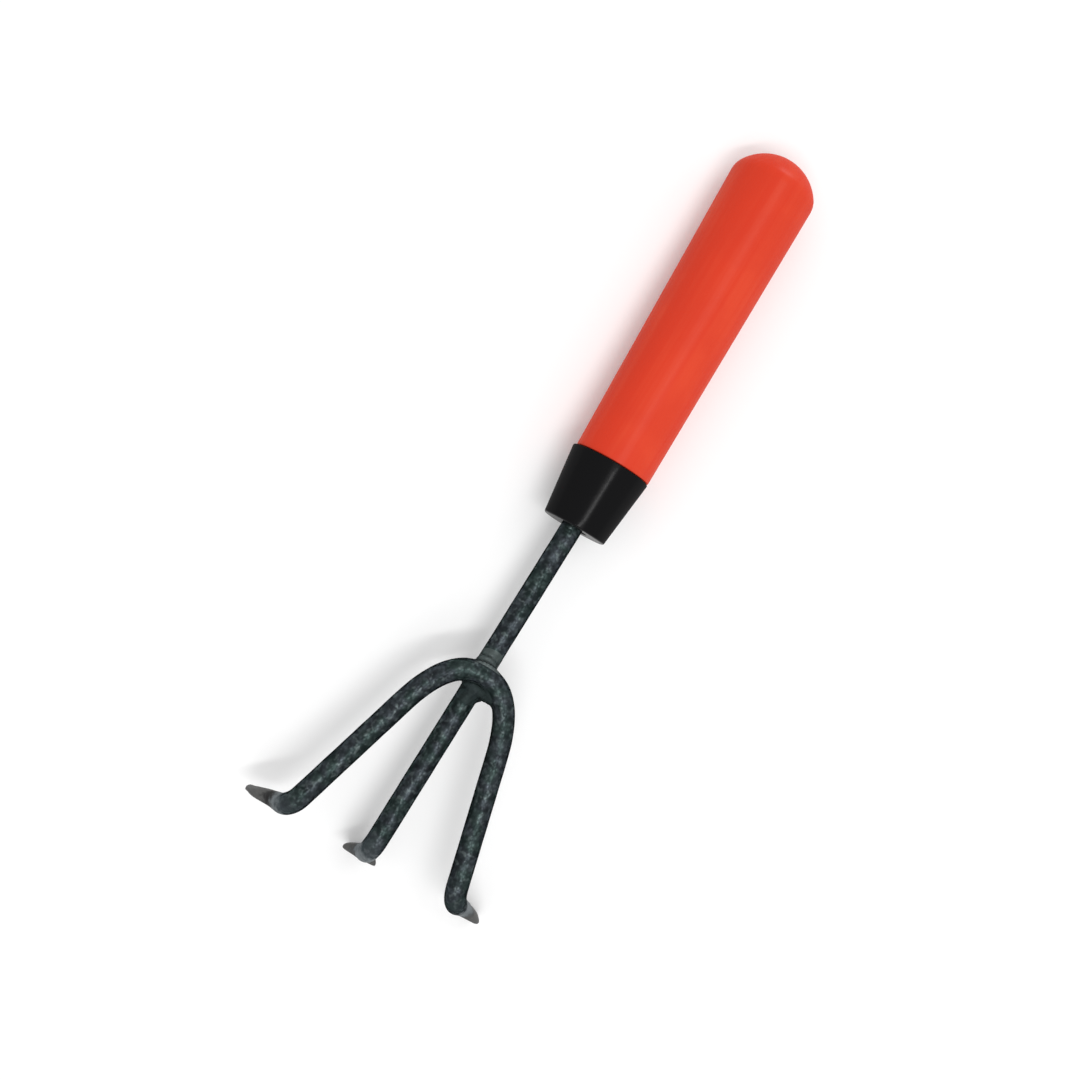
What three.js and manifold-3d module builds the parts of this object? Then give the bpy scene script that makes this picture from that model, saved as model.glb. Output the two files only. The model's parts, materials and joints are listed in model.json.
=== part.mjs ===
// Three-pronged hand cultivator. A straight steel rod is the tang, the shank and the middle tine,
// and a second rod, bent into a U, lies across it as the two outer tines. Welds join the rods,
// their ends are forged into leaf-shaped blades, and a moulded grip and a collar hold the tang.
// Millimetres. Until it is stood on its rest plane, the tool is built in its own axes: X runs
// along the straight rod towards the tines, Z is up, and the blades point down.
import * as THREE from 'three';
import { mergeVertices } from 'three/addons/utils/BufferGeometryUtils.js';
import Module from 'manifold-3d';

const wasm = await Module();
wasm.setup();

// Driving dimensions
const ROD_RADIUS = 4;
const ROD_SIDES = 20;
const FIT_GAP = 0.3;

const GRIP = {
  buttX: -182.9,
  frontX: -55.1,
  buttRadius: 16.5,
  frontRadius: 14.7,
  domeHeight: 10.6,
  shoulderRounding: 2,
  frontRounding: 0.6,
  spigotRadius: 11,
  spigotLength: 18,
};
const COLLAR = {
  frontX: -28.4,
  backRadius: 15.3,
  frontRadius: 12.2,
  holeRadius: 5.2,
  webThickness: 7,
  socketClearance: 0.9,
  sideways: -0.5, // it isn't quite central on the grip
  edgeRounding: 0.5,
};
const HANDLE_SKEW = THREE.MathUtils.degToRad(1.8); // the grip's axis lies this far off the rod's
const HANDLE_PIVOT_X = -68; // where the two axes cross

const TANG = { endX: -128, forgedLength: 16, halfWidth: 5.6, halfThickness: 2.6, squareness: 3 };

const ARCH = { crownX: 32.75, crownReach: 5.8, shoulderReach: 20, straightX: 54.9 };
const SPLAY = THREE.MathUtils.degToRad(15.4);
const SPLAY_OFFSET = 4.2; // how far out the outer tines' lines are where X is zero
const CROWN_SIDEWAYS = -0.25; // the U rod was welded on slightly to one side
const ELBOW_RADIUS = 7;
const MIDDLE_ELBOW_X = 108.2;
const OUTER_ELBOW_X = 106.7;
const TIP_DROP = 29; // each tip is this far below its own elbow
const LEAN = { // of each blade's line, in degrees
  left: { forward: 5.3, outward: 23.8 },
  middle: { forward: 3.8, outward: -1.5 },
  right: { forward: 2.2, outward: 29 },
};

const BLADE = {
  length: 22,
  widestFromTip: 16.5,
  halfWidth: 6.8,
  tipHalfWidth: 1.1,
  leafPower: 1.7,
  wedgeLength: 30, // the rod's end is hammered thinner from this far back
  tipThickness: 2.1,
  frontDepth: 0.9, // how far the blade's edges lie behind its flat front
  frontSquareness: 5,
  backSquareness: 1.5,
};

const X_AXIS = new THREE.Vector3(1, 0, 0);
const Y_AXIS = new THREE.Vector3(0, 1, 0);
const Z_AXIS = new THREE.Vector3(0, 0, 1);
const CROWN_HEIGHT = 2 * ROD_RADIUS + FIT_GAP; // the U rod's axis, as it lies on the straight rod

const COLOURS = { grip: 0xdd4229, collar: 0x17161a, paint: 0x2f3b3c, weld: 0x38464a };

const lerp = THREE.MathUtils.lerp;
const smooth = (t) => THREE.MathUtils.smoothstep(t, 0, 1);

// ---- Solids: conversion to and from manifold-3d ----

function toManifold(geometry) {
  const bare = geometry.clone();
  bare.deleteAttribute('normal');
  bare.deleteAttribute('uv');
  const merged = mergeVertices(bare, 1e-5);
  const vertProperties = new Float32Array(merged.attributes.position.array);
  const triVerts = new Uint32Array(merged.index.array);
  return new wasm.Manifold(new wasm.Mesh({ numProp: 3, vertProperties, triVerts }));
}

function toGeometry(manifold) {
  const mesh = manifold.getMesh();
  const geometry = new THREE.BufferGeometry();
  geometry.setAttribute('position', new THREE.BufferAttribute(mesh.vertProperties, 3));
  geometry.setIndex(new THREE.BufferAttribute(mesh.triVerts, 1));
  geometry.computeVertexNormals();
  return geometry;
}

// ---- Rods: a ring of points at each station, joined into one closed skin ----

const evenSection = (halfWidth, depth, squareness) => ({
  halfWidth,
  frontDepth: depth,
  backDepth: depth,
  frontSquareness: squareness,
  backSquareness: squareness,
  middle: 0,
});
const ROUND = evenSection(ROD_RADIUS, ROD_RADIUS, 2);

// Two superellipse halves, a front one and a back one, that meet at the section's side edges.
function ringAt({ point, tangent, side, section = ROUND }, extra) {
  const across = side.clone().addScaledVector(tangent, -side.dot(tangent)).normalize();
  const front = tangent.clone().cross(across);
  const ring = [];
  for (let i = 0; i < ROD_SIDES; i += 1) {
    const angle = (2 * Math.PI * i) / ROD_SIDES;
    const cos = Math.cos(angle);
    const sin = Math.sin(angle);
    const power = 2 / (sin > 0 ? section.frontSquareness : section.backSquareness);
    const depth = sin > 0 ? section.frontDepth : section.backDepth;
    const u = (section.halfWidth + extra) * Math.sign(cos) * Math.abs(cos) ** power;
    const v = (depth + extra) * Math.sign(sin) * Math.abs(sin) ** power + section.middle;
    ring.push(point.clone().addScaledVector(across, u).addScaledVector(front, v));
  }
  return ring;
}

function loft(rings) {
  const count = rings[0].length;
  const last = (rings.length - 1) * count;
  const index = [];
  for (let start = 0; start < last; start += count) {
    for (let i = 0; i < count; i += 1) {
      const next = (i + 1) % count;
      index.push(start + i, start + next, start + count + i);
      index.push(start + next, start + count + next, start + count + i);
    }
  }
  for (let i = 1; i < count - 1; i += 1) {
    index.push(0, i + 1, i);
    index.push(last, last + i, last + i + 1);
  }
  const geometry = new THREE.BufferGeometry();
  const coordinates = rings.flat().flatMap((p) => p.toArray());
  geometry.setAttribute('position', new THREE.Float32BufferAttribute(coordinates, 3));
  geometry.setIndex(index);
  geometry.computeVertexNormals();
  return geometry;
}

// The section at a distance back from a blade's tip. The rod's end is a wedge, and the leaf-shaped
// blade is spread sideways out of it. The front stays flush with the rod's and the back is rounded.
function forgedSection(fromTip) {
  if (fromTip > BLADE.wedgeLength) return ROUND;
  const root = smooth((BLADE.length - fromTip) / (BLADE.length - BLADE.widestFromTip));
  const leaf = Math.max(0, 1 - fromTip / BLADE.widestFromTip);
  const spread = lerp(ROD_RADIUS, BLADE.halfWidth, root ** 1.5);
  const thickness = lerp(BLADE.tipThickness, 2 * ROD_RADIUS, fromTip / BLADE.wedgeLength);
  const frontDepth = lerp(ROD_RADIUS, BLADE.frontDepth, root);
  return {
    halfWidth: lerp(spread, BLADE.tipHalfWidth, leaf ** BLADE.leafPower),
    frontDepth,
    backDepth: thickness - frontDepth,
    frontSquareness: lerp(2, BLADE.frontSquareness, root),
    backSquareness: lerp(2, BLADE.backSquareness, root),
    middle: ROD_RADIUS - frontDepth,
  };
}

// Stations from an elbow's start to the blade's tip. The corner is where the tine's line meets
// the blade's, and the section turns so that the blade's width lies across the tool.
function elbowAndBlade(corner, heading, tip) {
  const down = tip.clone().sub(corner).normalize();
  const turn = heading.angleTo(down);
  const setback = ELBOW_RADIUS * Math.tan(turn / 2);
  const inward = down.clone().addScaledVector(heading, -down.dot(heading)).normalize();
  const start = corner.clone().addScaledVector(heading, -setback);
  const centre = start.clone().addScaledVector(inward, ELBOW_RADIUS);
  const square = Z_AXIS.clone().cross(heading).normalize();
  const straight = tip.distanceTo(corner) - setback;
  const stations = [];
  const elbowSteps = 8;
  for (let i = 0; i <= elbowSteps; i += 1) {
    const angle = (turn * i) / elbowSteps;
    stations.push({
      point: centre.clone()
        .addScaledVector(inward, -ELBOW_RADIUS * Math.cos(angle))
        .addScaledVector(heading, ELBOW_RADIUS * Math.sin(angle)),
      tangent: heading.clone().multiplyScalar(Math.cos(angle))
        .addScaledVector(inward, Math.sin(angle)),
      side: square.clone().lerp(Y_AXIS, smooth(i / elbowSteps)),
      section: forgedSection(straight + ELBOW_RADIUS * (turn - angle)),
    });
  }
  const bladeSteps = 16;
  for (let i = 1; i <= bladeSteps; i += 1) {
    const fromTip = straight * (1 - i / bladeSteps);
    stations.push({
      point: tip.clone().addScaledVector(down, -fromTip),
      tangent: down,
      side: Y_AXIS,
      section: forgedSection(fromTip),
    });
  }
  return stations;
}

function tipBelow(corner, lean) {
  const ahead = TIP_DROP * Math.tan(THREE.MathUtils.degToRad(lean.forward));
  const outward = TIP_DROP * Math.tan(THREE.MathUtils.degToRad(lean.outward));
  return corner.clone().add(new THREE.Vector3(ahead, outward, -TIP_DROP));
}

function shankStations() {
  const round = (x) => ({ point: X_AXIS.clone().multiplyScalar(x), tangent: X_AXIS, side: Y_AXIS });
  const stations = [];
  const tangSteps = 4;
  for (let i = 0; i <= tangSteps; i += 1) {
    const k = smooth(1 - i / tangSteps);
    stations.push({
      ...round(TANG.endX + (TANG.forgedLength * i) / tangSteps),
      section: evenSection(
        lerp(ROD_RADIUS, TANG.halfWidth, k),
        lerp(ROD_RADIUS, TANG.halfThickness, k),
        lerp(2, TANG.squareness, k),
      ),
    });
  }
  const corner = new THREE.Vector3(MIDDLE_ELBOW_X, 0, 0);
  return [...stations, ...elbowAndBlade(corner, X_AXIS, tipBelow(corner, LEAN.middle))];
}

// Half of the U rod, from the middle of the arch to its tip, as it lies on the +Y side.
function outerStations(lean) {
  const lineAt = (x) => SPLAY_OFFSET + x * Math.tan(SPLAY);
  const shoulderX = ARCH.straightX - ARCH.shoulderReach * Math.cos(SPLAY);
  const shoulder = new THREE.Vector3(shoulderX, lineAt(shoulderX), CROWN_HEIGHT);
  const corner = new THREE.Vector3(OUTER_ELBOW_X, lineAt(OUTER_ELBOW_X), CROWN_HEIGHT);
  const heading = corner.clone().sub(shoulder).normalize();
  const arch = new THREE.CubicBezierCurve3(
    new THREE.Vector3(ARCH.crownX, 0, CROWN_HEIGHT),
    new THREE.Vector3(ARCH.crownX, ARCH.crownReach, CROWN_HEIGHT),
    shoulder,
    shoulder.clone().addScaledVector(heading, ARCH.shoulderReach),
  );
  const archSteps = 14;
  const stations = [];
  for (let i = 0; i <= archSteps; i += 1) {
    const tangent = arch.getTangent(i / archSteps);
    const side = Z_AXIS.clone().cross(tangent);
    stations.push({ point: arch.getPoint(i / archSteps), tangent, side });
  }
  return [...stations, ...elbowAndBlade(corner, heading, tipBelow(corner, lean))];
}

function shankRod(extra = 0) {
  return loft(shankStations().map((station) => ringAt(station, extra)));
}

function outerTineRod(extra = 0) {
  const half = (lean) => outerStations(lean).map((station) => ringAt(station, extra));
  const mirror = (p) => new THREE.Vector3(p.x, -p.y, p.z);
  const left = half(LEAN.left).slice(1).reverse().map((ring) => ring.map(mirror));
  return loft([...left, ...half(LEAN.right)]).translate(0, CROWN_SIDEWAYS, 0);
}

// ---- Welds: blobs of metal run together, cut to clear both rods ----

function weld(...blobs) {
  const solids = blobs.map(({ centre, radii, turn = 0 }) => {
    const blob = new THREE.SphereGeometry(1, 24, 16);
    blob.scale(...radii);
    blob.rotateZ(turn);
    blob.translate(...centre);
    return toManifold(blob);
  });
  const rods = toManifold(shankRod(FIT_GAP)).add(toManifold(outerTineRod(FIT_GAP)));
  return toGeometry(wasm.Manifold.union(solids).subtract(rods));
}

// ---- Handle: turned shapes about an axis that is slightly skew to the rod ----

// A profile is a path whose x is the radius and whose y is the distance along the tool's X.
function turned(profile, sides) {
  const geometry = new THREE.LatheGeometry(profile.getPoints(6), sides);
  geometry.rotateZ(-Math.PI / 2);
  geometry.translate(-HANDLE_PIVOT_X, 0, 0);
  geometry.rotateZ(HANDLE_SKEW);
  geometry.translate(HANDLE_PIVOT_X, 0, 0);
  return geometry;
}

function gripBlank() {
  const { buttX, frontX, buttRadius, frontRadius, domeHeight } = GRIP;
  const shoulderX = buttX + domeHeight;
  const domeRadius = (buttRadius ** 2 + domeHeight ** 2) / (2 * domeHeight);
  const domeAngle = Math.asin(buttRadius / domeRadius) - GRIP.shoulderRounding / domeRadius;
  const taper = (frontRadius - buttRadius) / (frontX - shoulderX);
  const sideRadius = (x) => buttRadius + taper * (x - shoulderX);
  const sideStart = shoulderX + GRIP.shoulderRounding;
  const sideEnd = frontX - GRIP.frontRounding;
  const profile = new THREE.Path();
  profile.absarc(0, buttX + domeRadius, domeRadius, -Math.PI / 2, domeAngle - Math.PI / 2);
  profile.quadraticCurveTo(buttRadius, shoulderX, sideRadius(sideStart), sideStart);
  profile.lineTo(sideRadius(sideEnd), sideEnd);
  profile.lineTo(frontRadius - GRIP.frontRounding, frontX);
  profile.lineTo(GRIP.spigotRadius, frontX);
  profile.lineTo(GRIP.spigotRadius, frontX + GRIP.spigotLength);
  profile.lineTo(0, frontX + GRIP.spigotLength);
  return turned(profile, 48);
}

// The grip is moulded round the tang, so its cavity is the tang's own shape.
function grip() {
  return toGeometry(toManifold(gripBlank()).subtract(toManifold(shankRod(FIT_GAP))));
}

function collar() {
  const backX = GRIP.frontX + FIT_GAP;
  const socketRadius = GRIP.spigotRadius + COLLAR.socketClearance;
  const socketFloorX = COLLAR.frontX - COLLAR.webThickness;
  const { frontX, backRadius, frontRadius, holeRadius, edgeRounding } = COLLAR;
  const profile = new THREE.Path();
  profile.moveTo(socketRadius, backX);
  profile.lineTo(backRadius - edgeRounding, backX);
  profile.quadraticCurveTo(backRadius, backX, backRadius, backX + edgeRounding);
  profile.lineTo(frontRadius, frontX - edgeRounding);
  profile.quadraticCurveTo(frontRadius, frontX, frontRadius - edgeRounding, frontX);
  profile.lineTo(holeRadius, frontX);
  profile.lineTo(holeRadius, socketFloorX);
  profile.lineTo(socketRadius, socketFloorX);
  profile.lineTo(socketRadius, backX);
  return turned(profile, 48).translate(0, COLLAR.sideways, 0);
}

// ---- Assembly ----

function finish(color, roughness, metalness = 0) {
  return new THREE.MeshStandardMaterial({ color, roughness, metalness });
}

function piece(name, geometry, material) {
  const mesh = new THREE.Mesh(geometry, material);
  mesh.name = name;
  return mesh;
}

const tool = new THREE.Group();
tool.add(
  piece('grip', grip(), finish(COLOURS.grip, 0.42)),
  piece('collar', collar(), finish(COLOURS.collar, 0.25)),
  piece('shank_rod', shankRod(), finish(COLOURS.paint, 0.45, 0.3)),
  piece('outer_tine_rod', outerTineRod(), finish(COLOURS.paint, 0.45, 0.3)),
  piece(
    'shank_weld',
    weld({ centre: [28, -1.3, 6.3], radii: [3.9, 4.4, 4.3] }),
    finish(COLOURS.weld, 0.5, 0.3),
  ),
  piece(
    'crotch_weld',
    weld(
      { centre: [37.9, 2.4, 5.2], radii: [3.6, 8.3, 3.4], turn: 0.2 },
      { centre: [38.9, 4.2, 3.2], radii: [3.2, 1.8, 2.8] },
      { centre: [38, -4.4, 4.2], radii: [2.4, 1.6, 2.8] },
    ),
    finish(COLOURS.weld, 0.5, 0.3),
  ),
);

// The tool rests on its middle tip, on the outer tip at its +Y side and on the edge of the butt.
// Leaning to that side picks that tip, and the plane through the three lowest points soon settles.
function lowestPoint(mesh, up) {
  const corners = mesh.geometry.attributes.position;
  const lowest = new THREE.Vector3();
  const corner = new THREE.Vector3();
  let leastHeight = Infinity;
  for (let i = 0; i < corners.count; i += 1) {
    const height = corner.fromBufferAttribute(corners, i).dot(up);
    if (height < leastHeight) {
      leastHeight = height;
      lowest.copy(corner);
    }
  }
  return lowest;
}

function restingUp(meshes) {
  const up = new THREE.Vector3(0, -0.1, 1);
  for (let i = 0; i < 8; i += 1) {
    const [butt, middleTip, sideTip] = meshes.map((mesh) => lowestPoint(mesh, up));
    up.crossVectors(middleTip.sub(butt), sideTip.sub(butt)).normalize();
  }
  return up;
}

const supports = ['grip', 'shank_rod', 'outer_tine_rod'].map((name) => tool.getObjectByName(name));
tool.quaternion.setFromUnitVectors(restingUp(supports), Z_AXIS);

// The origin is on the rest plane, under the middle of the tool's box.
const standing = new THREE.Group();
standing.add(tool);
standing.updateMatrixWorld(true);
const box = new THREE.Box3().setFromObject(standing, true);
tool.position.set(-(box.min.x + box.max.x) / 2, -(box.min.y + box.max.y) / 2, -box.min.z);

export default standing;
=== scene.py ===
"""The looks of a three-pronged hand cultivator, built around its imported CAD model.

Shapes are worked out in millimetres in the tool's own axes, as the CAD model's are: X runs along
the straight rod towards the tines and Z is up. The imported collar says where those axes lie.
"""
import json
import math

import bpy
import numpy as np
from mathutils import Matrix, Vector, noise


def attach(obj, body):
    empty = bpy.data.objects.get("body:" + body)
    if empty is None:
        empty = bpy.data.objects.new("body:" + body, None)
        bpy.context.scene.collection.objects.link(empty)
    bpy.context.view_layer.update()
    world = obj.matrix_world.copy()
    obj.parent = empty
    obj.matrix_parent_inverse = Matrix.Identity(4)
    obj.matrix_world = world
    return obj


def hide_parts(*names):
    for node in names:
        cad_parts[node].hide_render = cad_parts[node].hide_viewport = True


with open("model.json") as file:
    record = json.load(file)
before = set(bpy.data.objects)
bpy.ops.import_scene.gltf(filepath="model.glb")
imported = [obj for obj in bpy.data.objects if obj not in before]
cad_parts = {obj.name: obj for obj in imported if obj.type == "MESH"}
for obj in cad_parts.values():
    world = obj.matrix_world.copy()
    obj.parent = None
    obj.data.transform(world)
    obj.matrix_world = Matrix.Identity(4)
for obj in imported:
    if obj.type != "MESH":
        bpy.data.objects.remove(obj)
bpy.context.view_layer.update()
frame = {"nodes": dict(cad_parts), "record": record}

MM = 0.001

# ---- Driving dimensions, in millimetres and the same as the CAD model's ----

ROD_RADIUS = 4.0
FIT_GAP = 0.3
CROWN_HEIGHT = 2 * ROD_RADIUS + FIT_GAP

GRIP_BUTT_X = -182.9
GRIP_FRONT_X = -55.1
GRIP_BUTT_RADIUS = 16.5
GRIP_FRONT_RADIUS = 14.7
GRIP_DOME_HEIGHT = 10.6
GRIP_SHOULDER_ROUNDING = 2.0
GRIP_FRONT_ROUNDING = 0.6
SPIGOT_RADIUS = 11.0
SPIGOT_LENGTH = 18.0

COLLAR_FRONT_X = -28.4
COLLAR_BACK_RADIUS = 15.3
COLLAR_FRONT_RADIUS = 12.2
COLLAR_HOLE_RADIUS = 5.2
COLLAR_WEB = 7.0
COLLAR_SOCKET_RADIUS = 11.9
COLLAR_SIDEWAYS = -0.5
HANDLE_SKEW = math.radians(1.8)
HANDLE_PIVOT_X = -68.0

TANG_END_X = -128.0
TANG_FORGED_LENGTH = 16.0
TANG_HALF_WIDTH = 5.6
TANG_HALF_THICKNESS = 2.6

CROWN_X = 32.75
CROWN_REACH = 5.8
CROWN_SIDEWAYS = -0.25
SHOULDER_REACH = 20.0
ARM_START_X = 54.9
SPLAY = math.radians(15.4)
SPLAY_OFFSET = 4.2  # how far out the arms' lines are where X is zero
ELBOW_RADIUS = 7.0
MIDDLE_ELBOW_X = 108.2
OUTER_ELBOW_X = 106.7
TIP_DROP = 29.0
LEAN = {"left": (5.3, 23.8), "middle": (3.8, -1.5), "right": (2.2, 29.0)}  # forward and outward

BLADE_LENGTH = 22.0
BLADE_WIDEST = 16.5  # from the tip
BLADE_HALF_WIDTH = 6.8
BLADE_TIP_HALF_WIDTH = 1.1
BLADE_LEAF_POWER = 1.7
WEDGE_LENGTH = 30.0
TIP_THICKNESS = 2.1
BLADE_FRONT_DEPTH = 0.9
BLADE_FRONT_SQUARENESS = 5.0
BLADE_BACK_SQUARENESS = 1.5

X = np.array([1.0, 0.0, 0.0])
Y = np.array([0.0, 1.0, 0.0])
Z = np.array([0.0, 0.0, 1.0])
MIRRORED = X - Y + Z
ARM_HEADING = np.array([math.cos(SPLAY), math.sin(SPLAY), 0.0])

# ---- What the looks add to them ----

ROD_SIDES = 56
TANG_RINGS = 9
SHANK_RINGS = 150
ARCH_RINGS = 40
ARM_RINGS = 50
ELBOW_RINGS = 25
BLADE_RINGS = 60
TURNED_SIDES = 160
DOME_RINGS = 40
GRIP_RINGS = 120

ROD_UNEVENNESS = 0.05  # left by bending
BLADE_UNEVENNESS = 0.16  # left by hammering
UNEVENNESS_LENGTH = 5.0
UNEVENNESS_SEED = 1  # fixed, because the noise otherwise starts from the clock
HAMMERED_FROM = 28.0  # from the tip
HAMMERED_FULLY_AFTER = 8.0
EVEN_TIP_LENGTH = 3.0
TIP_ROUNDING = 0.5
TIP_DRAWN_IN = 0.8  # 0 leaves the last ring whole, and 1 draws it in to a point

WELD_BLEND = 3.0  # how widely the skins of the two rods run into one another
WELD_SKIN = 0.06  # a weld covers the rods by this much
WELD_EDGE_START = 0.62  # from this far out in its zone, a weld's skin sinks into the rods
WELD_EDGE_DEPTH = 0.5
RIPPLE_HEIGHT = 0.05
RIPPLE_LENGTH = 1.5
RIPPLE_SLANT = 0.9


# ---- Where the tool's axes lie in the frame ----

def turn_z(points, angle):
    c, s = math.cos(angle), math.sin(angle)
    return points @ np.array([[c, s, 0.0], [-s, c, 0.0], [0.0, 0.0, 1.0]])


def handle_to_tool(points):
    """The grip and collar are turned about an axis that is slightly askew to the rod."""
    pivot = HANDLE_PIVOT_X * X
    return turn_z(points - pivot, HANDLE_SKEW) + pivot


def tool_in_frame():
    """The tool's axes, found from the collar's front face.

    The mount's point is straight above that face's centre in the handle's own axes.
    """
    mount = next(m for m in frame["record"]["mounts"] if m["name"] == "collar_front")
    face_point = np.array(mount["pos_m"])
    face_axis = np.array(mount["axis"])
    collar = np.array([v.co for v in frame["nodes"]["collar"].data.vertices])
    rim = collar[np.abs((collar - face_point) @ face_axis) < 0.01 * MM]
    face_centre = (rim.min(0) + rim.max(0)) / 2
    up = face_point - face_centre
    up -= (up @ face_axis) * face_axis
    up /= np.linalg.norm(up)
    handle_axes = np.column_stack([face_axis, np.cross(up, face_axis), up])
    skew = turn_z(np.eye(3), HANDLE_SKEW).T
    axes = handle_axes @ skew.T
    centre = handle_to_tool(COLLAR_FRONT_X * X) + COLLAR_SIDEWAYS * Y
    return axes, face_centre - axes @ centre * MM


TOOL_AXES, TOOL_ORIGIN = tool_in_frame()


def to_frame(points):
    return points @ TOOL_AXES.T * MM + TOOL_ORIGIN


# ---- Meshes ----

def smooth(t):
    t = np.clip(t, 0.0, 1.0)
    return t * t * (3 - 2 * t)


def mix(a, b, k):
    return a + (b - a) * k


def unit(v):
    return v / np.linalg.norm(v)


def make_piece(name, points, faces, stands_for, slot, material, extra=None):
    """A mesh piece from points in the tool's axes, which its material reads as tool_place."""
    mesh = bpy.data.meshes.new(name)
    mesh.from_pydata(to_frame(points).tolist(), [], faces)
    mesh.polygons.foreach_set("use_smooth", [True] * len(mesh.polygons))
    place = mesh.attributes.new("tool_place", "FLOAT_VECTOR", "POINT")
    place.data.foreach_set("vector", points.astype(np.float32).ravel())
    for key, values in (extra or {}).items():
        attribute = mesh.attributes.new(key, "FLOAT", "POINT")
        attribute.data.foreach_set("value", np.asarray(values, np.float32))
    mesh.update()
    piece = bpy.data.objects.new(name, mesh)
    bpy.context.scene.collection.objects.link(piece)
    mesh.materials.append(material)
    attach(piece, "root")
    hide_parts(stands_for)


def ring_faces(ring_count, sides, closed=False):
    """Quads between neighbouring rings. A closed run joins the last ring to the first."""
    faces = []
    for r in range(ring_count if closed else ring_count - 1):
        here, there = r * sides, (r + 1) % ring_count * sides
        for i in range(sides):
            j = (i + 1) % sides
            faces.append((here + i, here + j, there + j, there + i))
    return faces


def capped(rings):
    """Rings joined into one closed skin, with a fan at each end."""
    sides = len(rings[0])
    points = np.vstack(rings)
    faces = ring_faces(len(rings), sides)
    first, last = len(points), len(points) + 1
    points = np.vstack([points, rings[0].mean(0), rings[-1].mean(0)])
    end = (len(rings) - 1) * sides
    for i in range(sides):
        j = (i + 1) % sides
        faces.append((first, j, i))
        faces.append((last, end + i, end + j))
    return points, faces


# ---- Rods ----

def even_section(width, depth, squareness):
    return {"width": width, "front": depth, "back": depth, "front_squareness": squareness,
            "back_squareness": squareness, "middle": 0.0}


ROUND = even_section(ROD_RADIUS, ROD_RADIUS, 2.0)


def rod_ring(station):
    """Two superellipse halves that meet at the section's side edges, as in the CAD model."""
    section = station.get("section", ROUND)
    tangent = station["tangent"]
    across = unit(station["side"] - (station["side"] @ tangent) * tangent)
    front = np.cross(tangent, across)
    angle = 2 * math.pi * np.arange(ROD_SIDES) / ROD_SIDES
    cos, sin = np.cos(angle), np.sin(angle)
    power = 2 / np.where(sin > 0, section["front_squareness"], section["back_squareness"])
    depth = np.where(sin > 0, section["front"], section["back"])
    u = section["width"] * np.sign(cos) * np.abs(cos) ** power
    v = depth * np.sign(sin) * np.abs(sin) ** power + section["middle"]
    return station["point"] + np.outer(u, across) + np.outer(v, front)


def forged_section(from_tip):
    """The rod's end is a wedge, and the leaf-shaped blade is spread sideways out of it."""
    if from_tip > WEDGE_LENGTH:
        return ROUND
    root = smooth((BLADE_LENGTH - from_tip) / (BLADE_LENGTH - BLADE_WIDEST))
    leaf = max(0.0, 1 - from_tip / BLADE_WIDEST)
    spread = mix(ROD_RADIUS, BLADE_HALF_WIDTH, root ** 1.5)
    thickness = mix(TIP_THICKNESS, 2 * ROD_RADIUS, from_tip / WEDGE_LENGTH)
    front = mix(ROD_RADIUS, BLADE_FRONT_DEPTH, root)
    return {
        "width": mix(spread, BLADE_TIP_HALF_WIDTH, leaf ** BLADE_LEAF_POWER),
        "front": front,
        "back": thickness - front,
        "front_squareness": mix(2.0, BLADE_FRONT_SQUARENESS, root),
        "back_squareness": mix(2.0, BLADE_BACK_SQUARENESS, root),
        "middle": ROD_RADIUS - front,
    }


def elbow_and_blade(corner, heading, tip):
    """Stations from an elbow's start to the blade's tip."""
    down = unit(tip - corner)
    bend = math.acos(heading @ down)
    setback = ELBOW_RADIUS * math.tan(bend / 2)
    inward = unit(down - (down @ heading) * heading)
    centre = corner - setback * heading + ELBOW_RADIUS * inward
    square = unit(np.cross(Z, heading))
    to_tip = np.linalg.norm(tip - corner) - setback
    stations = []
    for t in np.linspace(0, 1, ELBOW_RINGS):
        angle = bend * t
        from_tip = to_tip + ELBOW_RADIUS * (bend - angle)
        stations.append({
            "point": centre + ELBOW_RADIUS * (math.sin(angle) * heading - math.cos(angle) * inward),
            "tangent": math.cos(angle) * heading + math.sin(angle) * inward,
            "side": mix(square, Y, smooth(t)),
            "from_tip": from_tip,
            "section": forged_section(from_tip),
        })
    for t in np.linspace(0, 1, BLADE_RINGS)[1:]:
        from_tip = to_tip * (1 - t)
        stations.append({
            "point": tip - from_tip * down,
            "tangent": down,
            "side": Y,
            "from_tip": from_tip,
            "section": forged_section(from_tip),
        })
    return stations


def tip_below(corner, lean):
    forward, outward = np.tan(np.radians(lean))
    return corner + TIP_DROP * np.array([forward, outward, -1.0])


def shank_stations():
    stations = []
    forged_end = TANG_END_X + TANG_FORGED_LENGTH
    for x in np.linspace(TANG_END_X, forged_end, TANG_RINGS):
        k = smooth((forged_end - x) / TANG_FORGED_LENGTH)
        stations.append({
            "point": x * X, "tangent": X, "side": Y, "from_tip": MIDDLE_ELBOW_X + TIP_DROP - x,
            "section": even_section(mix(ROD_RADIUS, TANG_HALF_WIDTH, k),
                                    mix(ROD_RADIUS, TANG_HALF_THICKNESS, k), mix(2.0, 3.0, k)),
        })
    corner = MIDDLE_ELBOW_X * X
    end = elbow_and_blade(corner, X, tip_below(corner, LEAN["middle"]))
    elbow_x, elbow_from_tip = end[0]["point"][0], end[0]["from_tip"]
    for x in np.linspace(forged_end, elbow_x, SHANK_RINGS)[1:-1]:
        from_tip = elbow_from_tip + elbow_x - x
        stations.append({"point": x * X, "tangent": X, "side": Y, "from_tip": from_tip})
    return stations + end


def arm_line(x):
    return np.array([x, SPLAY_OFFSET + x * math.tan(SPLAY), CROWN_HEIGHT])


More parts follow.
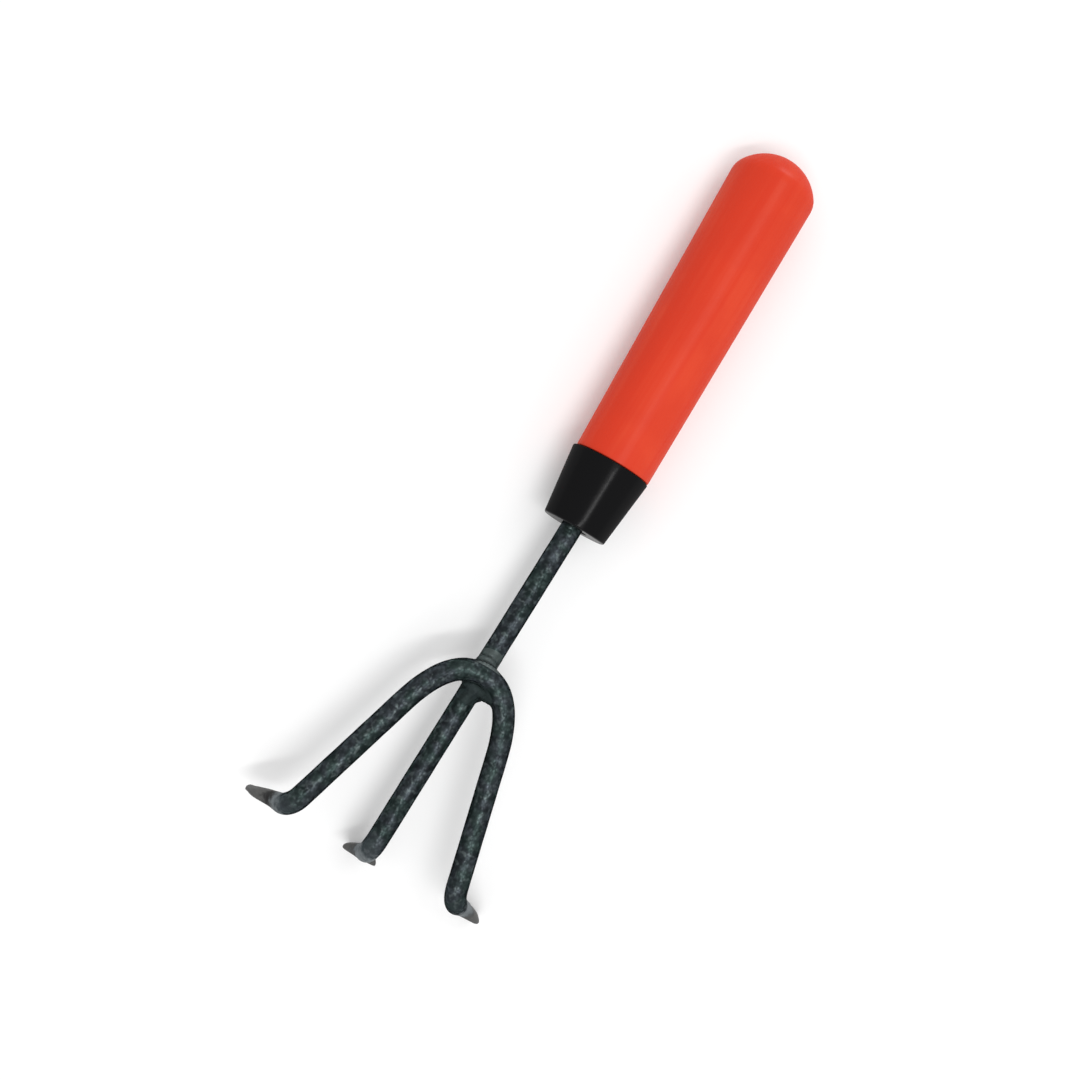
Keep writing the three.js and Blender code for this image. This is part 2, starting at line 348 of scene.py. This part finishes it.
def arch_point(t):
    """The crown of the U rod, from its middle (t = 0) to the start of the straight arm (t = 1)."""
    middle = np.array([CROWN_X, 0.0, CROWN_HEIGHT])
    shoulder = arm_line(ARM_START_X - SHOULDER_REACH * math.cos(SPLAY))
    a, b, c, d = (middle, middle + CROWN_REACH * Y, shoulder,
                  shoulder + SHOULDER_REACH * ARM_HEADING)
    return (1 - t) ** 3 * a + 3 * (1 - t) ** 2 * t * b + 3 * (1 - t) * t * t * c + t ** 3 * d


def arm_stations(lean):
    """Half of the U rod, as it lies on the +Y side."""
    corner = arm_line(OUTER_ELBOW_X)
    end = elbow_and_blade(corner, ARM_HEADING, tip_below(corner, lean))
    step = 1e-4
    stations = []
    for t in np.linspace(0, 1, ARCH_RINGS):
        tangent = unit(arch_point(min(t + step, 1)) - arch_point(max(t - step, 0)))
        tangent = Y if t == 0 else tangent
        stations.append({"point": arch_point(t), "tangent": tangent, "side": np.cross(Z, tangent)})
    start, stop = arch_point(1), end[0]["point"]
    for t in np.linspace(0, 1, ARM_RINGS)[1:-1]:
        stations.append({
            "point": mix(start, stop, t),
            "tangent": ARM_HEADING,
            "side": np.cross(Z, ARM_HEADING),
        })
    for station in stations:
        away = np.linalg.norm(station["point"] - stop)
        station["from_tip"] = end[0]["from_tip"] + away
    return stations + end


def round_the_end(rings):
    """Draws the last ring in, so that a blade's tip isn't cut square."""
    *rest, last = rings
    middle = last.mean(0)
    back = unit(rest[-1].mean(0) - middle) * TIP_ROUNDING
    for t in (0.0, 0.35, 0.65, 0.87, 1.0):
        drawn_in = math.sqrt(1 - (TIP_DRAWN_IN * t) ** 2)
        rest.append(middle + (last - middle) * drawn_in + back * (1 - t))
    return rest


def swept(stations):
    """The rings of a rod that ends in a blade, and each ring's distance from the tip."""
    rings = round_the_end([rod_ring(station) for station in stations])
    from_tip = [station["from_tip"] for station in stations[:-1]]
    return rings, from_tip + [0.0] * (len(rings) - len(from_tip))


def outer_tine_rod():
    left, left_from_tip = swept(arm_stations(LEAN["left"]))
    right, right_from_tip = swept(arm_stations(LEAN["right"]))
    mirrored = [ring * MIRRORED for ring in left[1:]]
    rings = [ring + CROWN_SIDEWAYS * Y for ring in mirrored[::-1] + right]
    return rings, left_from_tip[1:][::-1] + right_from_tip


def forged(points, from_tip):
    """Small unevenness, as hammering and bending leave it, stronger on the blades."""
    on_blade = smooth((HAMMERED_FROM - from_tip) / HAMMERED_FULLY_AFTER)
    strength = mix(ROD_UNEVENNESS, BLADE_UNEVENNESS, on_blade)
    strength = strength * smooth(from_tip / EVEN_TIP_LENGTH)
    noise.seed_set(UNEVENNESS_SEED)
    drift = np.array([noise.noise_vector(Vector(p) / UNEVENNESS_LENGTH) for p in points])
    return points + drift * strength[:, None]


def make_rod(name, stands_for, rings, from_tip, material):
    """The rod's points also carry their distance from its nearer tip, for the wear and for the
    painted light on the bare blade.
    """
    points, faces = capped(rings)
    per_point = np.append(np.repeat(from_tip, ROD_SIDES), [from_tip[0], from_tip[-1]])
    make_piece(name, forged(points, per_point), faces, stands_for, "rod_paint", material,
               {"from_tip": per_point})


# ---- Handle ----

def arc_points(centre, radius, start, stop, count):
    angles = np.linspace(start, stop, count)
    return [(centre + radius * math.cos(a), radius * math.sin(a)) for a in angles]


def rounded_corner(before, corner, after, size, count=7):
    """Points of a small curve in place of a profile's corner."""
    before, corner, after = (np.array(p, float) for p in (before, corner, after))
    a = corner + unit(before - corner) * size
    b = corner + unit(after - corner) * size
    return [tuple((1 - t) ** 2 * a + 2 * t * (1 - t) * corner + t * t * b)
            for t in np.linspace(0, 1, count)]


def spaced(start, stop, count):
    """Points strictly between two profile points."""
    return [tuple(mix(np.array(start), np.array(stop), t)) for t in np.linspace(0, 1, count)][1:-1]


def turned(profile, closed=False):
    """A profile of (along, radius) points, turned about the handle's axis."""
    angle = 2 * math.pi * np.arange(TURNED_SIDES) / TURNED_SIDES
    rings = [np.column_stack([np.full(TURNED_SIDES, x), r * np.cos(angle), r * np.sin(angle)])
             for x, r in profile]
    if closed:
        points, faces = np.vstack(rings), ring_faces(len(rings), TURNED_SIDES, closed=True)
    else:
        points, faces = capped(rings)
    return handle_to_tool(points), faces


def grip_profile():
    shoulder_x = GRIP_BUTT_X + GRIP_DOME_HEIGHT
    dome_radius = (GRIP_BUTT_RADIUS ** 2 + GRIP_DOME_HEIGHT ** 2) / (2 * GRIP_DOME_HEIGHT)
    dome_angle = math.asin(GRIP_BUTT_RADIUS / dome_radius)
    cut = GRIP_SHOULDER_ROUNDING / dome_radius
    off_axis = 0.01  # the dome's first ring isn't quite a point
    dome = arc_points(GRIP_BUTT_X + dome_radius, dome_radius, math.pi - off_axis,
                      math.pi - dome_angle + cut, DOME_RINGS)
    side_end = (GRIP_FRONT_X, GRIP_FRONT_RADIUS)
    shoulder = rounded_corner(dome[-1], (shoulder_x, GRIP_BUTT_RADIUS), side_end,
                              GRIP_SHOULDER_ROUNDING, 12)
    front = rounded_corner(shoulder[-1], side_end, (GRIP_FRONT_X, SPIGOT_RADIUS),
                           GRIP_FRONT_ROUNDING)
    spigot_end = GRIP_FRONT_X + SPIGOT_LENGTH
    return (dome + shoulder[1:] + spaced(shoulder[-1], front[0], GRIP_RINGS) + front
            + [(GRIP_FRONT_X, SPIGOT_RADIUS), (spigot_end, SPIGOT_RADIUS)])


def collar_profile():
    back_x = GRIP_FRONT_X + FIT_GAP
    floor_x = COLLAR_FRONT_X - COLLAR_WEB
    corners = [  # along, radius, rounding
        (back_x, COLLAR_SOCKET_RADIUS, 0.15),
        (back_x, COLLAR_BACK_RADIUS, 0.5),
        (COLLAR_FRONT_X, COLLAR_FRONT_RADIUS, 0.7),
        (COLLAR_FRONT_X, COLLAR_HOLE_RADIUS, 0.35),
        (floor_x, COLLAR_HOLE_RADIUS, 0.2),
        (floor_x, COLLAR_SOCKET_RADIUS, 0.3),
    ]
    profile = []
    for i, (x, r, size) in enumerate(corners):
        before, after = corners[i - 1][:2], corners[(i + 1) % len(corners)][:2]
        rounded = rounded_corner(before, (x, r), after, size)
        if profile:
            profile += spaced(profile[-1], rounded[0], 10)
        profile += rounded
    return profile[::-1]


def make_collar():
    profile = collar_profile()
    points, faces = turned(profile, closed=True)
    on_front = [smooth((x - COLLAR_FRONT_X + 0.5) / 0.35) for x, radius in profile]
    make_piece("moulded_collar", points + COLLAR_SIDEWAYS * Y, faces, "collar", "collar",
               collar_material(), {"front": np.repeat(on_front, TURNED_SIDES)})


# ---- Welds ----

def smooth_union(a, b, k):
    h = np.clip(0.5 + 0.5 * (b - a) / k, 0, 1)
    return b + (a - b) * h - k * h * (1 - h)


def bead_distance(points, path, radii):
    """Distance to a bead of varying thickness along a finely sampled path."""
    best = np.full(len(points), np.inf)
    for sample, radius in zip(path, radii):
        best = np.minimum(best, np.linalg.norm(points - sample, axis=1) - radius)
    return best


def crown_path(offset=0.0, height=0.0, reach=1.0, count=60):
    """Samples along the crown, moved outwards and upwards."""
    half = [arch_point(t) for t in np.linspace(0, reach, count)]
    path = np.array([point * MIRRORED for point in half[:0:-1]] + half)
    along = np.gradient(path, axis=0)
    along /= np.linalg.norm(along, axis=1)[:, None]
    return path + CROWN_SIDEWAYS * Y + offset * np.cross(Z, along) + height * Z


def weld(centre, zone, solid):
    """The surface of a shape round a centre, found along rays, inside an ellipsoid."""
    bpy.ops.mesh.primitive_ico_sphere_add(subdivisions=6, radius=1.0)
    ball = bpy.context.object
    rays = np.array([v.co for v in ball.data.vertices])
    faces = [tuple(p.vertices) for p in ball.data.polygons]
    bpy.data.objects.remove(ball)
    rays /= np.linalg.norm(rays, axis=1)[:, None]
    reach = 1 / np.sqrt(((rays / zone) ** 2).sum(1))
    inside, outside = np.zeros(len(rays)), reach.copy()
    steps, halvings = 28, 7
    for t in np.linspace(0, 1, steps)[1:]:
        far = reach * t
        hit = (solid(centre + rays * far[:, None]) > 0) & (far <= outside)
        outside = np.where(hit, np.minimum(outside, far), outside)
        inside = np.where(~hit & (far < outside), far, inside)
    for _ in range(halvings):
        middle = (inside + outside) / 2
        beyond = solid(centre + rays * middle[:, None]) > 0
        outside = np.where(beyond, middle, outside)
        inside = np.where(beyond, inside, middle)
    return centre + rays * inside[:, None], faces


def weld_solid(centre, zone, beads):
    """The distance to both rods and a weld's beads, run together under a thin skin."""
    crown = crown_path()

    def solid(points):
        distance = smooth_union(
            np.hypot(points[:, 1], points[:, 2]) - ROD_RADIUS,
            bead_distance(points, crown, [ROD_RADIUS] * len(crown)),
            WELD_BLEND,
        )
        phase = points[:, 1] * 2 * math.pi / RIPPLE_LENGTH + points[:, 0] * RIPPLE_SLANT
        ripple = RIPPLE_HEIGHT * np.sin(phase)
        for path, radii, blend in beads:
            distance = smooth_union(distance, bead_distance(points, path, radii) - ripple, blend)
        out = np.sqrt((((points - centre) / zone) ** 2).sum(1))
        sunk = smooth((out - WELD_EDGE_START) / (1 - WELD_EDGE_START))
        return distance - WELD_SKIN + WELD_EDGE_DEPTH * sunk
    return solid


def tapered(radius, count, end):
    """Radii that fall from the middle of a bead towards both ends."""
    return radius * (1 - (1 - end) * np.linspace(-1, 1, count) ** 2)


def shank_weld():
    """A fillet between the shank and the crown, with a thin ridge along the crown's flank.

    The centre lies low in the rods, so that rays from it meet the fillet only once.
    """
    centre, zone = np.array([30.5, 0.0, 1.5]), np.array([10.5, 10.0, 13.5])
    root = crown_path(offset=4.0, height=-3.7, reach=0.1, count=12) - 0.9 * Y
    root_radius, root_blend = 2.1, 3.5
    top = crown_path(offset=3.5, height=1.7, reach=0.22, count=24) - 0.5 * Y
    top_radius, top_blend = 0.85, 0.3
    beads = [
        (root, tapered(root_radius, len(root), 0.6), root_blend),
        (top, tapered(top_radius, len(top), 0.5), top_blend),
    ]
    points, faces = weld(centre, zone, weld_solid(centre, zone, beads))
    ridge = top[6:-6]
    from_ridge = bead_distance(points, ridge, [top_radius] * len(ridge))
    # How light the weld's paint is: the weld's own paler tone on the shank's top, and along the
    # ridge's top a painted highlight.
    on_shank = smooth((31.0 - points[:, 0]) / 3)
    ridge_highlight = smooth(1 - from_ridge / 0.4)
    return points, faces, mix(mix(0.3, 0.75, on_shank), 0.85, ridge_highlight)


def crotch_weld():
    """A web inside the crown, a fillet beside the middle tine and an apron along its top."""
    centre, zone = np.array([36.5, 1.5, 3.6]), np.array([10.5, 15.0, 9.4])
    across = np.linspace(-2.8, 5.8, 24)
    bulge = 0.75 * np.exp(-((across - 4.8) / 2.0) ** 2)
    web = np.column_stack([37.6 + bulge, across, 4.6 + 0.04 * across ** 2])
    web_radii, web_blend = 2.7 - 0.012 * (across - 2.0) ** 2, 3.0
    side = np.linspace((37.8, 3.3, 4.0), (40.3, 3.6, 1.6), 10)
    apron = np.linspace((38.0, 0.2, 4.4), (42.5, -0.2, 1.6), 12)
    fillet_blend = 2.2
    beads = [
        (web, web_radii, web_blend),
        (side, [1.5] * len(side), fillet_blend),
        (apron, [2.4] * len(apron), fillet_blend),
    ]
    points, faces = weld(centre, zone, weld_solid(centre, zone, beads))
    return points, faces, np.zeros(len(points))


def make_weld(name, stands_for, points, faces, tone_and_ridge_highlight, material):
    make_piece(name, points, faces, stands_for, "weld_paint", material, {"tone_and_ridge_highlight": tone_and_ridge_highlight})


# ---- Materials ----

class Nodes:
    """A short way to write a node tree."""

    def __init__(self, name):
        self.material = bpy.data.materials.new(name)
        self.material.use_nodes = True
        self.tree = self.material.node_tree
        self.shader = self.tree.nodes["Principled BSDF"]

    def add(self, kind, **settings):
        node = self.tree.nodes.new(kind)
        for key, value in settings.items():
            setattr(node, key, value)
        return node

    def plug(self, socket, value):
        """Links another node's output to a socket, or sets the socket to a constant."""
        if isinstance(value, bpy.types.NodeSocket):
            self.tree.links.new(value, socket)
        else:
            socket.default_value = value

    def feed(self, node, **inputs):
        for key, value in inputs.items():
            self.plug(node.inputs[key.replace("_", " ")], value)
        return node

    def place(self, scale=(1.0, 1.0, 1.0)):
        """The surface's place in the tool's axes, in millimetres."""
        node = self.add("ShaderNodeAttribute", attribute_name="tool_place")
        mapping = self.feed(self.add("ShaderNodeMapping"), Vector=node.outputs["Vector"],
                            Scale=scale)
        return mapping.outputs["Vector"]

    def attribute(self, name):
        return self.add("ShaderNodeAttribute", attribute_name=name).outputs["Fac"]

    def noise(self, vector, scale, detail, rough=0.5):
        node = self.feed(self.add("ShaderNodeTexNoise"), Vector=vector, Scale=scale, Detail=detail,
                         Roughness=rough)
        return node.outputs["Fac"]

    def cells(self, vector, scale):
        node = self.feed(self.add("ShaderNodeTexVoronoi"), Vector=vector, Scale=scale)
        return node.outputs["Distance"]

    def remap(self, value, low, high, to_low=0.0, to_high=1.0):
        node = self.add("ShaderNodeMapRange", interpolation_type="SMOOTHSTEP")
        self.feed(node, Value=value, From_Min=low, From_Max=high, To_Min=to_low, To_Max=to_high)
        return node.outputs["Result"]

    def maths(self, operation, a, b):
        node = self.add("ShaderNodeMath", operation=operation)
        self.plug(node.inputs[0], a)
        self.plug(node.inputs[1], b)
        return node.outputs["Value"]

    def mixed(self, factor, a, b):
        node = self.add("ShaderNodeMix", data_type="RGBA")
        sockets = {socket.identifier: socket for socket in node.inputs}
        self.plug(sockets["Factor_Float"], factor)
        self.plug(sockets["A_Color"], a)
        self.plug(sockets["B_Color"], b)
        return next(s for s in node.outputs if s.identifier == "Result_Color")

    def bump(self, height, distance_mm, strength):
        node = self.feed(self.add("ShaderNodeBump"), Height=height, Distance=distance_mm * MM,
                         Strength=strength)
        return node.outputs["Normal"]


def rgb(red, green, blue):
    """A colour from its usual 0 to 255 values."""
    def linear(c):
        c /= 255
        return c / 12.92 if c <= 0.04045 else ((c + 0.055) / 1.055) ** 2.4
    return (linear(red), linear(green), linear(blue), 1.0)


ORANGE = rgb(210, 59, 36)
ORANGE_STREAK = rgb(214, 70, 45)
ORANGE_CLOUD = rgb(204, 58, 38)

BLACK = rgb(18, 18, 19)
BLACK_DUST = rgb(34, 34, 36)

# The paint's dark and pale parts each drift between a green and a blue tint.
PAINT_DARK = rgb(41, 51, 50), rgb(46, 49, 53)
PAINT_PALE = rgb(64, 77, 75), rgb(72, 78, 83)
PAINT_CELL = rgb(31, 38, 39)
PAINT_FLECK = rgb(104, 114, 114)
PAINT_RUBBED = rgb(78, 84, 88)
WELD_PAINT = rgb(56, 65, 65), rgb(94, 102, 101)  # from dull to paler; the palest also serves as a painted highlight on the shank weld's ridge

# Bare steel's colours: painted shade for the blade's shaded middle, a painted highlight for the
# up-facing shoulder below the elbow, the tip's grey with painted light from its lit edge, and real
# stains.
STEEL_PAINTED_SHADE = rgb(50, 50, 50)
STEEL_PAINTED_HIGHLIGHT = rgb(118, 124, 127)
STEEL_GREY_AND_LIT_TIP = rgb(94, 94, 93)
STEEL_STAIN = rgb(66, 67, 67)

# Where each kind of wear, and each band of painted light on the bare steel, starts and is
# complete, in millimetres from a blade's tip. A ragged edge adds up to WEAR_RAGGED to that
# distance.
WEAR_RAGGED = 9.0
WEAR_RUBBED = 41.0, 33.0
WEAR_BARE = 35.0, 30.0
SHOULDER_HIGHLIGHT_RAMP = 27.0, 31.0
TIP_GREY_AND_LIGHT_RAMP = 26.0, 22.5
HIGHLIGHT_FURTHER = 4.0  # the painted highlight band reaches this much nearer to the tip, except at the -Y side
HIGHLIGHT_FURTHER_Y = -25.0, -8.0

PAINT_METALLIC, STEEL_METALLIC = 0.92, 0.12
PAINT_GLOSS, STEEL_GLOSS = 0.1, 0.02


def grip_material():
    n = Nodes("grip_plastic")
    streaks = n.remap(n.noise(n.place((0.02, 1, 1)), 0.22, 2.0), 0.35, 0.65)
    clouds = n.remap(n.noise(n.place(), 0.05, 3.0), 0.35, 0.65)
    colour = n.mixed(streaks, ORANGE, ORANGE_STREAK)
    colour = n.mixed(n.maths("MULTIPLY", clouds, 0.5), colour, ORANGE_CLOUD)
    sheen = n.remap(n.noise(n.place((0.3, 1, 1)), 0.6, 4.0), 0.3, 0.7, 0.24, 0.34)
    grain = n.bump(n.noise(n.place(), 3.2, 4.0, 0.6), 0.02, 0.5)
    n.feed(n.shader, Base_Color=colour, Roughness=sheen, Specular_IOR_Level=0.0, Normal=grain,
           Coat_Weight=0.2, Coat_Roughness=sheen, Coat_Normal=grain)
    return n.material


def collar_material():
    n = Nodes("collar_plastic")
    dust = n.remap(n.noise(n.place(), 2.2, 5.0, 0.7), 0.55, 0.8)
    colour = n.mixed(n.maths("MULTIPLY", dust, 0.25), BLACK, BLACK_DUST)
    scratches = n.noise(n.place((4, 0.6, 0.6)), 1.2, 6.0, 0.7)
    sheen = n.remap(scratches, 0.35, 0.7, 0.15, 0.21)
    polish = n.remap(n.attribute("front"), 0.0, 1.0, 0.1, 0.5)
    waves = n.bump(n.noise(n.place(), 0.5, 2.0), 0.05, 0.4)
    n.feed(n.shader, Base_Color=colour, Roughness=sheen, Specular_IOR_Level=0.0, Normal=waves,
           Coat_Weight=polish, Coat_Roughness=sheen, Coat_Normal=waves)
    return n.material


def hammertone(n):
    """Colour and height of the dark paint: soft cells, with paler flecks between them."""
    place = n.place()
    cells = n.remap(n.cells(place, 0.62), 0.15, 0.75)
    mottle = n.remap(n.noise(place, 0.35, 2.0), 0.35, 0.65)
    tint = n.remap(n.noise(place, 0.16, 1.0), 0.4, 0.6)
    flecks = n.remap(n.noise(place, 0.5, 1.4), 0.52, 0.74)
    colour = n.mixed(mottle, n.mixed(tint, *PAINT_DARK), n.mixed(tint, *PAINT_PALE))
    colour = n.mixed(n.maths("MULTIPLY", cells, 0.5), colour, PAINT_CELL)
    colour = n.mixed(n.maths("MULTIPLY", flecks, 0.5), colour, PAINT_FLECK)
    height = n.maths("SUBTRACT", n.maths("MULTIPLY", flecks, 0.3), cells)
    return colour, height


def worn_rod(n, colour, height):
    """The paint of a rod, rubbed and then worn through to bare steel towards the tip; the bare
    steel gets painted highlight and painted shade.
    """
    ragged = n.maths("MULTIPLY", n.noise(n.place(), 0.45, 4.0, 0.6), WEAR_RAGGED)
    from_tip = n.maths("ADD", n.attribute("from_tip"), ragged)
    rubbed = n.remap(from_tip, *WEAR_RUBBED)
    colour = n.mixed(n.maths("MULTIPLY", rubbed, 0.7), colour, PAINT_RUBBED)
    # Painted light on the bare steel: a highlight band below the elbow, reaching nearer the tip
    # except at the -Y side, painted shade beyond it, and a grey tip that is partly painted light.
    across = n.feed(n.add("ShaderNodeSeparateXYZ"), Vector=n.place()).outputs["Y"]
    highlight_further = n.remap(across, *HIGHLIGHT_FURTHER_Y, 0.0, HIGHLIGHT_FURTHER)
    shoulder_highlight = n.remap(n.maths("ADD", from_tip, highlight_further), *SHOULDER_HIGHLIGHT_RAMP)
    steel = n.mixed(shoulder_highlight, STEEL_PAINTED_SHADE, STEEL_PAINTED_HIGHLIGHT)
    steel = n.mixed(n.remap(from_tip, *TIP_GREY_AND_LIGHT_RAMP), steel, STEEL_GREY_AND_LIT_TIP)
    stains = n.remap(n.noise(n.place((1, 0.4, 1)), 0.5, 5.0, 0.65), 0.35, 0.7)
    steel = n.mixed(n.maths("MULTIPLY", stains, 0.35), steel, STEEL_STAIN)
    bare = n.remap(from_tip, *WEAR_BARE)
    height = n.mixed(bare, height, n.noise(n.place(), 1.5, 5.0, 0.6))
    metallic = n.remap(bare, 0.0, 1.0, PAINT_METALLIC, STEEL_METALLIC)
    gloss = n.remap(bare, 0.0, 1.0, PAINT_GLOSS, STEEL_GLOSS)
    return n.mixed(bare, colour, steel), height, metallic, gloss


def smooth_weld(n, colour, height):
    """The paint of a weld, where heat and filler leave little of the hammertone."""
    # The paler weld colour carries the weld's tone and, along the shank weld's ridge, a painted
    # highlight.
    smoothed = n.mixed(n.attribute("tone_and_ridge_highlight"), *WELD_PAINT)
    height = n.maths("MULTIPLY", height, 0.3)
    return n.mixed(0.8, colour, smoothed), height, PAINT_METALLIC, PAINT_GLOSS


def painted_material(name, finish):
    """Hammertone paint as one of the two finishes above changes it."""
    n = Nodes(name)
    colour, height, metallic, gloss = finish(n, *hammertone(n))
    roughness = n.remap(n.noise(n.place(), 1.6, 3.0), 0.3, 0.7, 0.38, 0.5)
    n.feed(n.shader, Base_Color=colour, Metallic=metallic, Roughness=roughness,
           Specular_IOR_Level=gloss, Specular_Tint=(0.0, 0.0, 0.0, 1.0),
           Normal=n.bump(height, 0.2, 0.6))
    return n.material


def floor_material():
    n = Nodes("floor")
    tone = n.noise(n.add("ShaderNodeTexCoord").outputs["Object"], 3.0, 2.0)
    colour = n.mixed(tone, (0.95, 0.95, 0.95, 1.0), (0.97, 0.97, 0.97, 1.0))
    n.feed(n.shader, Base_Color=colour, Roughness=0.9, Specular_IOR_Level=0.1)
    return n.material


# ---- Studio ----

def floor():
    bpy.ops.mesh.primitive_plane_add(size=6.0, location=(0, 0, 0))
    plane = bpy.context.object
    plane.name = "floor"
    plane.data.materials.append(floor_material())


def softbox(name, position, target, size, power):
    light = bpy.data.lights.new(name, "AREA")
    light.shape = "RECTANGLE"
    light.size, light.size_y = size
    light.energy = power
    lamp = bpy.data.objects.new(name, light)
    lamp.location = position
    lamp.rotation_euler = (Vector(target) - Vector(position)).to_track_quat("-Z", "Y").to_euler()
    bpy.context.scene.collection.objects.link(lamp)


def studio():
    """A white room, two softboxes above the tool and one low behind the grip."""
    world = bpy.data.worlds.new("studio")
    world.use_nodes = True
    background = world.node_tree.nodes["Background"]
    background.inputs["Color"].default_value = (1.0, 1.0, 1.0, 1.0)
    background.inputs["Strength"].default_value = 0.73
    bpy.context.scene.world = world
    softbox("overhead", position=(0.0, 0.3, 1.1), target=(0.0, 0.0, 0.0), size=(1.5, 0.36),
            power=3.4)
    softbox("strip", position=(0.2, 0.19, 1.0), target=(0.0, 0.0, 0.0), size=(0.5, 0.06),
            power=2.4)
    softbox("beyond_the_butt", position=(-1.32, 0.09, 0.21), target=(-0.14, 0.0, 0.03),
            size=(0.5, 0.35), power=3.8)
    bpy.context.scene.view_settings.view_transform = "Standard"


def camera():
    """Almost straight above, with the tool's butt at the picture's upper right."""
    data = bpy.data.cameras.new("camera")
    data.sensor_width = 36.0
    data.lens = 54.55
    data.shift_x = -0.00065
    data.clip_end = 20.0
    eye = bpy.data.objects.new("camera", data)
    eye.location = (0.02183, -0.01070, 0.60856)
    eye.rotation_euler = (math.radians(0.318), math.radians(-0.721), math.radians(122.153))
    bpy.context.scene.collection.objects.link(eye)
    bpy.context.scene.camera = eye


# ---- Everything ----

camera()
floor()
studio()

rod_paint = painted_material("rod_paint", worn_rod)
make_rod("painted_shank_rod", "shank_rod", *swept(shank_stations()), rod_paint)
make_rod("painted_outer_tine_rod", "outer_tine_rod", *outer_tine_rod(), rod_paint)
weld_paint = painted_material("weld_paint", smooth_weld)
make_weld("shank_bead", "shank_weld", *shank_weld(), weld_paint)
make_weld("crotch_bead", "crotch_weld", *crotch_weld(), weld_paint)
make_piece("moulded_grip", *turned(grip_profile()), "grip", "grip", grip_material())
make_collar()
